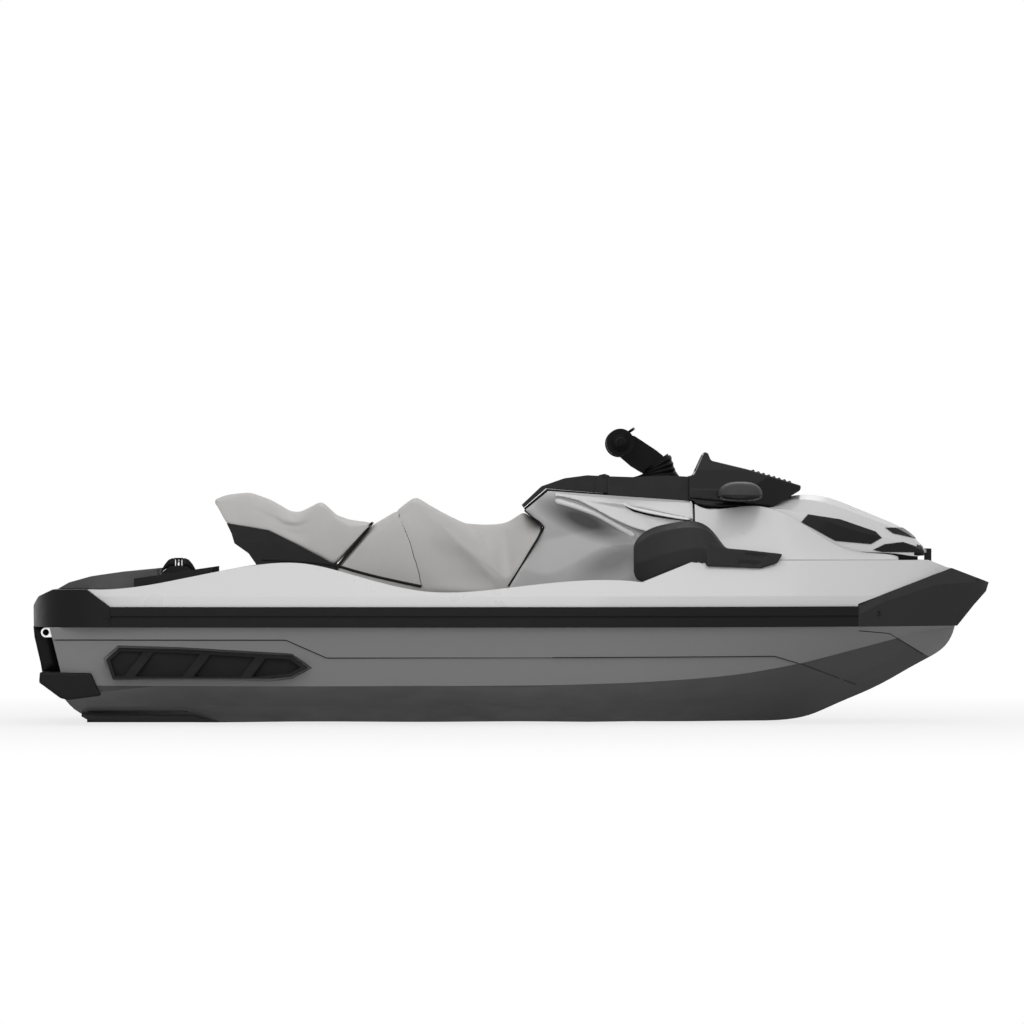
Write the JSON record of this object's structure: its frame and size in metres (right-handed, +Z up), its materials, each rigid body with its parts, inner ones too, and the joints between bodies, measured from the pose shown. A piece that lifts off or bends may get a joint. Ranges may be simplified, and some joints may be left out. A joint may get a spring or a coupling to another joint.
{
  "type": "personal watercraft",
  "caption": "Sit-down personal watercraft with vee hull, water-jet drive, turning handlebar, stepped bench seat, lifting hood, glovebox lid and folding boarding step.",
  "frame": {"origin": "on the centre plane at half the overall length, on the waterline at rest", "axes": "+X to the bow, +Y to port, +Z up"},
  "size_m": [3.447, 1.2546, 1.0661],
  "materials": {
    "deck_silver": "gloss metallic gelcoat",
    "hull_grey": "satin gelcoat, dark below the chine",
    "console_grey": "satin moulded plastic",
    "trim_black": "satin moulded plastic",
    "bumper_grey": "grained moulded plastic",
    "gloss_black": "gloss",
    "display": "dark glass",
    "mat": "ribbed foam",
    "vinyl_grey": "grained vinyl",
    "seat_black": "satin",
    "tub_black": "satin",
    "control_black": "satin",
    "grip_rubber": "ribbed",
    "alloy": "cast and anodised",
    "steel": "bright",
    "hook_black": "satin",
    "plate_black": "satin",
    "engine_grey": "cast"
  },
  "bodies": {
    "craft": {"hull": "hull_grey", "engine": "engine_grey", "deck": "deck_silver", "rail_port": "trim_black", "rail_starboard": "trim_black", "bow_bumper": "bumper_grey", "stern_bumper": "trim_black", "stern_guards": "trim_black", "sponsons": "trim_black", "rear_mat": "mat", "well_mats": "mat", "seat_base": "seat_black", "seat_rear": "vinyl_grey", "seat_front": "vinyl_grey", "console": "console_grey", "dash": "gloss_black", "side_panel_port": "deck_silver", "side_panel_starboard": "deck_silver", "fairing_port": "deck_silver", "fairing_starboard": "deck_silver", "deflector_port": "bumper_grey", "deflector_starboard": "bumper_grey", "storage_tub": "tub_black", "hood_hinge": "trim_black", "pump_housing": "alloy", "venturi": "alloy", "ride_plate": "plate_black", "intake_grate": "alloy", "step_brackets": "trim_black", "stern_eyes": "steel", "tow_hook": "hook_black", "anchor_tracks": "trim_black"},
    "hood": {"hood": "deck_silver", "hood_inserts": "gloss_black", "visor": "gloss_black", "gauge": "display", "mirrors": "gloss_black"},
    "lid": {"glovebox_lid": "gloss_black"},
    "steering": {"steering_mast": "control_black", "handlebar": "alloy", "control_pods": "control_black", "grips": "grip_rubber", "levers": "control_black"},
    "jet_nozzle": {"nozzle": "alloy"},
    "bucket": {"reverse_bucket": "plate_black"},
    "rotor": {"impeller": "steel", "drive_shaft": "steel"},
    "step": {"boarding_step": "trim_black"}
  },
  "joints": [
    {"name": "steering_turn", "type": "hinge", "parent": "craft", "child": "steering", "pos_m": [0.545, 0, 0.64], "axis": [-0.5736, 0, 0.8192], "range_deg": [-25, 25]},
    {"name": "nozzle_turn", "type": "hinge", "parent": "craft", "child": "jet_nozzle", "pos_m": [-1.49, 0, -0.11], "axis": [0, 0, 1], "range_deg": [-22, 22]},
    {"name": "bucket_swing", "type": "hinge", "parent": "craft", "child": "bucket", "pos_m": [-1.42, 0, -0.11], "axis": [0, -1, 0], "range_deg": [0, 42]},
    {"name": "impeller_spin", "type": "hinge", "parent": "craft", "child": "rotor", "pos_m": [-1.21, 0, -0.11], "axis": [1, 0, 0], "continuous": true},
    {"name": "hood_lift", "type": "hinge", "parent": "craft", "child": "hood", "pos_m": [1.503, 0, 0.366], "axis": [0, 1, 0], "range_deg": [0, 55]},
    {"name": "lid_lift", "type": "hinge", "parent": "craft", "child": "lid", "pos_m": [0.328, 0, 0.634], "axis": [0, 1, 0], "range_deg": [0, 55]},
    {"name": "step_fold", "type": "hinge", "parent": "craft", "child": "step", "pos_m": [-1.652, 0, -0.06], "axis": [0, -1, 0], "range_deg": [0, 125]}
  ],
  "couplings": [
    {"joint": "nozzle_turn", "follows": "steering_turn", "ratio": -0.88}
  ]
}
